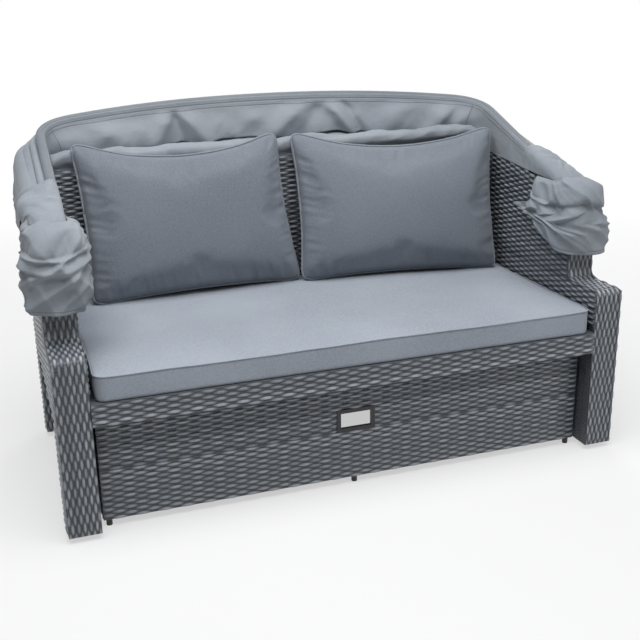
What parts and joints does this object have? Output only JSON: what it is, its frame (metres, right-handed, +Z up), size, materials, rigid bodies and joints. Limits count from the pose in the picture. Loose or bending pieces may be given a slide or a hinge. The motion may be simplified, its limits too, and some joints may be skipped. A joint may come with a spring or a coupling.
{
  "type": "outdoor daybed with canopy",
  "caption": "Woven outdoor daybed with a fold-over bow canopy stowed behind the backrest, seat and back cushions, and a pull-out ottoman under the seat.",
  "frame": {"origin": "on the ground under the middle of the whole piece", "axes": "+Z up, the seat faces -Y, +X to the sitter's left"},
  "size_m": [1.7076, 1.0044, 1.0406],
  "materials": {
    "wicker": "woven flat synthetic strands, dark blue-grey with brown and violet strands among them",
    "frame_metal": "powder-coated tube and bar, charcoal, satin",
    "bow_metal": "powder-coated bent tube, dark grey, satin",
    "steel": "zinc-plated bolts and brackets",
    "black_plastic": "moulded, fine-grained, black",
    "canopy_cloth": "thin woven polyester, blue-grey, creased",
    "cushion_cloth": "plain woven polyester, blue-grey, piped edges on the back cushions"
  },
  "bodies": {
    "root": {"right_side_wicker": "wicker", "left_side_wicker": "wicker", "right_lower_panel": "wicker", "left_lower_panel": "wicker", "back_wicker": "wicker", "front_apron": "wicker", "right_side_frame": "frame_metal", "left_side_frame": "frame_metal", "right_seat_side_rail": "frame_metal", "left_seat_side_rail": "frame_metal", "back_frame": "frame_metal", "seat_front_rail": "frame_metal", "seat_rear_rail": "frame_metal", "seat_bearer": "frame_metal", "seat_deck": "frame_metal", "canopy_rear_bow": "bow_metal", "right_side_bolt_front": "steel", "left_side_bolt_front": "steel", "right_side_bolt_rear": "steel", "left_side_bolt_rear": "steel", "right_pivot_bracket": "steel", "left_pivot_bracket": "steel", "right_pivot_bolt": "steel", "left_pivot_bolt": "steel", "right_pivot_nut": "steel", "left_pivot_nut": "steel", "right_front_foot": "black_plastic", "left_front_foot": "black_plastic", "right_rear_foot": "black_plastic", "left_rear_foot": "black_plastic", "right_bow_rest": "black_plastic", "left_bow_rest": "black_plastic", "right_canopy_skirt": "canopy_cloth", "left_canopy_skirt": "canopy_cloth", "canopy_rear_panel": "canopy_cloth", "seat_cushion": "cushion_cloth", "right_back_cushion": "cushion_cloth", "left_back_cushion": "cushion_cloth"},
    "lower_bow_set": {"canopy_lower_bow": "bow_metal", "canopy_lower_cloth": "canopy_cloth"},
    "upper_bow_set": {"canopy_upper_bow": "bow_metal", "canopy_upper_cloth": "canopy_cloth"},
    "front_bow_set": {"canopy_front_bow": "bow_metal", "canopy_front_cloth": "canopy_cloth", "right_canopy_gather": "canopy_cloth", "left_canopy_gather": "canopy_cloth"},
    "ottoman": {"right_ottoman_side": "wicker", "left_ottoman_side": "wicker", "ottoman_front": "wicker", "ottoman_rear": "wicker", "ottoman_top": "wicker", "ottoman_frame": "frame_metal", "right_ottoman_front_foot": "black_plastic", "left_ottoman_front_foot": "black_plastic", "right_ottoman_rear_foot": "black_plastic", "left_ottoman_rear_foot": "black_plastic", "ottoman_front_middle_foot": "black_plastic", "ottoman_rear_middle_foot": "black_plastic", "hand_hole_frame": "black_plastic"}
  },
  "joints": [
    {"name": "canopy_lower_fold", "type": "hinge", "parent": "root", "child": "lower_bow_set", "pos_m": [0, -0.2722, 0.79], "axis": [1, 0, 0], "range_deg": [0, 34]},
    {"name": "canopy_upper_fold", "type": "hinge", "parent": "lower_bow_set", "child": "upper_bow_set", "pos_m": [0, -0.2722, 0.79], "axis": [1, 0, 0], "range_deg": [0, 34]},
    {"name": "canopy_front_fold", "type": "hinge", "parent": "upper_bow_set", "child": "front_bow_set", "pos_m": [0, -0.2722, 0.79], "axis": [1, 0, 0], "range_deg": [0, 34]},
    {"name": "ottoman_slide", "type": "slide", "parent": "root", "child": "ottoman", "axis": [0, -1, 0], "range_m": [0, 0.65]}
  ],
  "couplings": [
    {"joint": "canopy_upper_fold", "follows": "canopy_lower_fold", "ratio": 1},
    {"joint": "canopy_front_fold", "follows": "canopy_lower_fold", "ratio": 1}
  ]
}
